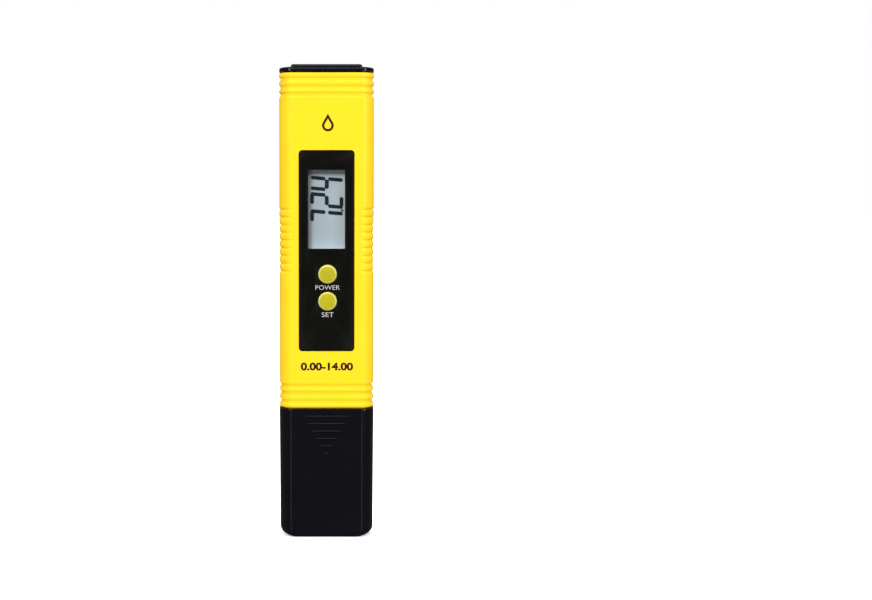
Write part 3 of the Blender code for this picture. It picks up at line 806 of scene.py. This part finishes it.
# ------------------------------------------------------------------ printing
def lettering(name, text, height, cx, z0, y_front, look, width=None, weight=0.0, thick=0.02, spacing=1.0):
    """Generic printed words: flat ink facing -Y, z0 is the baseline, height is the capitals' height."""
    c = bpy.data.curves.new(name, "FONT")
    c.body = text
    c.size = 1.0
    c.space_character = spacing
    c.offset = weight
    c.resolution_u = 6
    o = bpy.data.objects.new(name, c)
    root_coll.objects.link(o)
    bpy.context.view_layer.update()
    probe = bpy.data.curves.new("probe", "FONT")
    probe.body, probe.size, probe.offset = "H", 1.0, weight
    po = bpy.data.objects.new("probe", probe)
    root_coll.objects.link(po)
    bpy.context.view_layer.update()
    ys = [v[1] for v in po.bound_box]
    cap_h, base = max(ys) - min(ys), min(ys)
    bpy.data.objects.remove(po)
    s = height / cap_h
    xs = [v[0] for v in o.bound_box]
    sx = s if width is None else width / (max(xs) - min(xs))
    c.extrude = thick / 2 / s
    mid = (max(xs) + min(xs)) / 2
    bpy.context.view_layer.update()
    o.matrix_world = (
        Matrix.Translation(Vector((cx * MM, (y_front + thick / 2) * MM, z0 * MM)))
        @ Matrix.Rotation(math.pi / 2, 4, "X")
        @ Matrix.Diagonal((sx * MM, s * MM, s * MM, 1))
        @ Matrix.Translation(Vector((-mid, -base, 0)))
    )
    return finish_piece(to_mesh(o), look, "casing", angle=60)


def drop(r, cx, cz):
    """A drop's outline: an arc below and a point above."""
    arc = [math.radians(150 + 240 * k / 48) for k in range(49)]
    return [(cx, cz + 2 * r)] + [(cx + r * math.cos(t), cz + r * math.sin(t)) for t in arc]


lettering("power_label", "POWER", 1.40, 0.35, 79.12, -7.472, WHITE_INK, width=7.7, weight=-0.004)
lettering("set_label", "SET", 1.43, 0.35, 70.52, -7.472, WHITE_INK, width=3.8, weight=-0.004)
lettering("range_label", "0.00-14.00", 2.5, 0.10, 53.5, -7.522, DARK_INK, width=16.6, weight=0.042)
mark = flat_piece(
    "liquid_mark",
    [drop(1.85, 0.41, 130.8), list(reversed(drop(1.10, 0.41, 130.8)))],
    -7.522,
    -7.502,
    edge=0.0,
)
finish_piece(mark, DARK_INK, "casing", angle=60)


# ------------------------------------------------------------------ display digits
def segment(p0, p1, width, taper=0.5):
    """A display segment: a six-sided bar from p0 to p1 in XZ."""
    a, b = Vector(p0), Vector(p1)
    d = (b - a).normalized()
    n = Vector((-d.y, d.x))
    t = d * width * taper
    h = n * width / 2
    return [a, a + t + h, b - t + h, b, b - t - h, a + t - h]


def lcd_digits():
    """The reading 7.24, turned a quarter turn: the digits' tops face -X and the text runs up the pen."""
    bm = bmesh.new()
    slant = 0.088
    w, h, t = 3.36, 9.30, 1.14  # bar-centre width and height of a digit, bar thickness

    def place(u, v):
        # u runs along the text (up the pen), v up the digit (towards -X)
        return (4.72 - v, 100.15 + u + (v - h / 2) * slant)

    def bar(pts, y0=-5.262, y1=-5.225):
        front = [bm.verts.new((x * MM, y0 * MM, z * MM)) for x, z in pts]
        back = [bm.verts.new((x * MM, y1 * MM, z * MM)) for x, z in pts]
        bm.faces.new(front)
        bm.faces.new(list(reversed(back)))
        for i in range(len(front)):
            j = (i + 1) % len(front)
            bm.faces.new((front[i], back[i], back[j], front[j]))

    def digit(u0, on):
        e, m = 0.46, 0.34
        shapes = {
            "a": ((u0 + 0.12, h), (u0 + w - 0.12, h), 1.2),
            "g": ((u0 + 0.12, h / 2), (u0 + w - 0.12, h / 2), 1.24),
            "d": ((u0 + 0.12, 0.0), (u0 + w - 0.12, 0.0), 1.2),
            "f": ((u0, h / 2 + m), (u0, h + e), t),
            "b": ((u0 + w, h / 2 + m), (u0 + w, h + e), t),
            "e": ((u0, -e), (u0, h / 2 - m), t),
            "c": ((u0 + w, -e), (u0 + w, h / 2 - m), t),
        }
        for key in on:
            p, q, width = shapes[key]
            bar([place(*c) for c in segment(p, q, width, 0.3)])

    digit(0.0, "abc")
    digit(5.42, "abged")
    digit(10.58, "fgbc")
    bar([place(4.40 + 0.38 * math.cos(a), -0.24 + 0.38 * math.sin(a)) for a in [2 * math.pi * k / 20 for k in range(20)]])
    return from_bmesh("reading_digits", bm)


finish_piece(lcd_digits(), LCD_INK, "casing", angle=60)

# ------------------------------------------------------------------ battery cap
G0 = WALL + CLEAR
LID0 = 147.7
lid = skin(
    "battery_cap_skin",
    [
        off(141.0, G0 + 0.35),
        off(141.15, G0 + 0.12),
        off(141.5, G0),
        off(143.5, G0),
        off(143.5, G0 + 0.5),
        off(145.0, G0 + 0.5),
        off(145.0, G0),
        off(LID0, G0),
        off(LID0, 0.20),
        off(LID0 + 0.04, 0.08),
        off(LID0 + 0.14, 0.0),
        off(148.2, 0.01),
        off(148.62, 0.04),
        off(148.78, 0.10),
        off(148.90, 0.20),
        off(148.99, 0.34),
        off(149.06, 0.55),
        off(149.13, 0.95),
        off(149.20, 1.6),
        off(149.26, 2.4),
    ],
)
crown_levels = []
for z, hx, hy in (
    (148.1, 11.35, 7.36),
    (149.20, 11.25, 7.30),
    (149.50, 11.20, 7.26),
    (149.70, 11.10, 7.18),
    (149.84, 10.98, 7.06),
    (149.94, 10.84, 6.90),
    (150.0, 10.60, 6.65),
):
    crown_levels.append(slab(z, hx, hy, 0.7, 0.7, steps=8))
cut(lid, skin("crown", crown_levels), "UNION")
cut(lid, skin("hollow", [off(140.0, G0 + 1.2), off(148.2, G0 + 1.3)]))
finish_piece(lid, BLACK, "battery_lid", "battery_cap", slot="black_plastic")


# ------------------------------------------------------------------ electrode cap
def cap_ring(z, f, ends=0.0, faces=0.0):
    hx = 14.8 + 0.25 * f
    rx = RX + hx - HX
    return slab(z, hx - ends, HY - faces, max(0.8, rx - ends * 0.6), RY - faces)


CAP_TOP = 41.2
levels = [cap_ring(0.0, 0.0, 4.35, 1.3)]
for k in range(1, 13):
    a = math.pi / 2 * k / 12
    levels.append(cap_ring(2.9 * (1 - math.cos(a)), 0.02 * k / 12, 4.2 * (1 - math.sin(a)), 1.2 * (1 - math.sin(a)) ** 1.4))
for z in (6, 12, 18, 24, 30, 36, 40.5):
    levels.append(cap_ring(z, min(1.0, (z - 2.9) / 38.3)))
levels += [
    cap_ring(CAP_TOP - 0.28, 1.0),
    cap_ring(CAP_TOP - 0.10, 1.0, 0.05, 0.05),
    cap_ring(CAP_TOP - 0.02, 1.0, 0.15, 0.15),
    cap_ring(CAP_TOP, 1.0, 0.25, 0.25),
]
ecap = skin("electrode_cap_skin", levels)


def rib(half, z):
    """A raised half-round bar with rounded ends on the cap's front."""
    bm = bmesh.new()
    r = 0.27
    rows = []
    n = 12
    xs = [-half + r * (1 - math.cos(math.pi / 2 * k / 6)) for k in range(7)]
    xs = xs + [-x for x in reversed(xs)]
    for x in xs:
        edge = half - abs(x)
        s = math.sqrt(max(0.0, 1 - (1 - min(1.0, edge / r)) ** 2)) if edge < r else 1.0
        s = max(s, 0.12)
        rows.append(
            [
                bm.verts.new(
                    (
                        x * MM,
                        (-7.44 - 0.25 * s * math.sin(2 * math.pi * k / n)) * MM,
                        (z + r * s * math.cos(2 * math.pi * k / n)) * MM,
                    )
                )
                for k in range(n)
            ]
        )
    for a, b in zip(rows, rows[1:]):
        for k in range(n):
            j = (k + 1) % n
            bm.faces.new((a[k], a[j], b[j], b[k]))
    bm.faces.new(rows[0])
    bm.faces.new(list(reversed(rows[-1])))
    return from_bmesh("rib", bm)


for i, half in enumerate((7.15, 5.95, 4.6, 3.4, 2.1, 0.95)):
    cut(ecap, rib(half, 38.8 - i * 2.38), "UNION")
cut(
    ecap,
    skin("cavity", [off(1.5, WALL + 0.65), off(2.3, WALL + 0.3), off(30.0, WALL), off(CAP_TOP + 1.0, WALL)]),
)
finish_piece(ecap, BLACK, "storage_cap", "electrode_cap", slot="black_plastic")

# ------------------------------------------------------------------ floor and light
floor_me = bpy.data.meshes.new("floor")
bm = bmesh.new()
bmesh.ops.create_grid(bm, x_segments=2, y_segments=2, size=4.0)
bm.to_mesh(floor_me)
bm.free()
floor = bpy.data.objects.new("floor", floor_me)
root_coll.objects.link(floor)
floor.location = (0, 0, -0.00005)
fm, fnt, fp = tree("studio_floor")
fv = coords(fnt)
fnt.links.new(ramp(fnt, noise(fnt, fv, 3.0), [(0.3, (0.93, 0.93, 0.93)), (0.7, (0.95, 0.95, 0.95))]), fp.inputs["Base Color"])
fp.inputs["Roughness"].default_value = 0.9
fp.inputs["Specular IOR Level"].default_value = 0.0
fp.inputs["Emission Color"].default_value = (1.0, 1.0, 1.0, 1.0)
fp.inputs["Emission Strength"].default_value = 0.35
floor_me.materials.append(fm)
floor.visible_glossy = False
floor.visible_diffuse = False
floor.visible_shadow = False

# White to the camera, dim to reflections, a soft fill to everything else.
world = bpy.data.worlds.new("studio")
scene.world = world
world.use_nodes = True
wn = world.node_tree
wn.nodes.clear()
out = wn.nodes.new("ShaderNodeOutputWorld")


def backdrop(strength):
    n = wn.nodes.new("ShaderNodeBackground")
    n.inputs["Color"].default_value = (1, 1, 1, 1)
    n.inputs["Strength"].default_value = strength
    return n.outputs[0]


path = wn.nodes.new("ShaderNodeLightPath")
inner = wn.nodes.new("ShaderNodeMixShader")
outer = wn.nodes.new("ShaderNodeMixShader")
wn.links.new(path.outputs["Is Glossy Ray"], inner.inputs["Fac"])
wn.links.new(backdrop(0.74), inner.inputs[1])
wn.links.new(backdrop(0.08), inner.inputs[2])
wn.links.new(path.outputs["Is Camera Ray"], outer.inputs["Fac"])
wn.links.new(inner.outputs[0], outer.inputs[1])
wn.links.new(backdrop(1.0), outer.inputs[2])
wn.links.new(outer.outputs[0], out.inputs["Surface"])


def softbox(name, place, target, w, h, radiance, glossy=True):
    d = bpy.data.lights.new(name, "AREA")
    d.shape, d.size, d.size_y = "RECTANGLE", w, h
    d.energy = radiance * math.pi * w * h
    o = bpy.data.objects.new(name, d)
    root_coll.objects.link(o)
    o.location = place
    look_at(o, target)
    o.visible_glossy = glossy
    o.visible_camera = False
    return o


C = (0, 0, 0.075)
softbox("key_left", (-0.62, -1.0, 0.72), C, 0.5, 0.9, 4.0)
softbox("key_right", (0.95, -0.80, 0.45), C, 0.50, 0.9, 3.8)
softbox("strip_left", (-0.325, -1.0, 0.0), (0, 0, 0.0), 0.05, 0.9, 2.2)
softbox("strip_right", (0.285, -1.0, 0.0), (0, 0, 0.0), 0.05, 0.9, 2.2)
softbox("top", (0.0, -0.55, 1.0), C, 0.35, 0.35, 4.4)
softbox("front_fill", (0.0, -1.1, 1.0), C, 0.8, 0.5, 5.0, glossy=False)
softbox("rear_fill", (0.0, 1.1, 1.0), C, 0.8, 0.5, 3.5, glossy=False)
softbox("rear_left", (-0.8, 0.9, 0.6), C, 0.6, 0.8, 2.4, glossy=False)
softbox("rear_right", (0.8, 0.9, 0.6), C, 0.6, 0.8, 2.4, glossy=False)
overhead = bpy.data.lights.new("overhead", "SUN")
overhead.energy, overhead.angle = 3.2, math.radians(9)
overhead_obj = bpy.data.objects.new("overhead", overhead)
root_coll.objects.link(overhead_obj)
overhead_obj.visible_glossy = False

scene.view_settings.view_transform = "Standard"
scene.view_settings.look = "None"
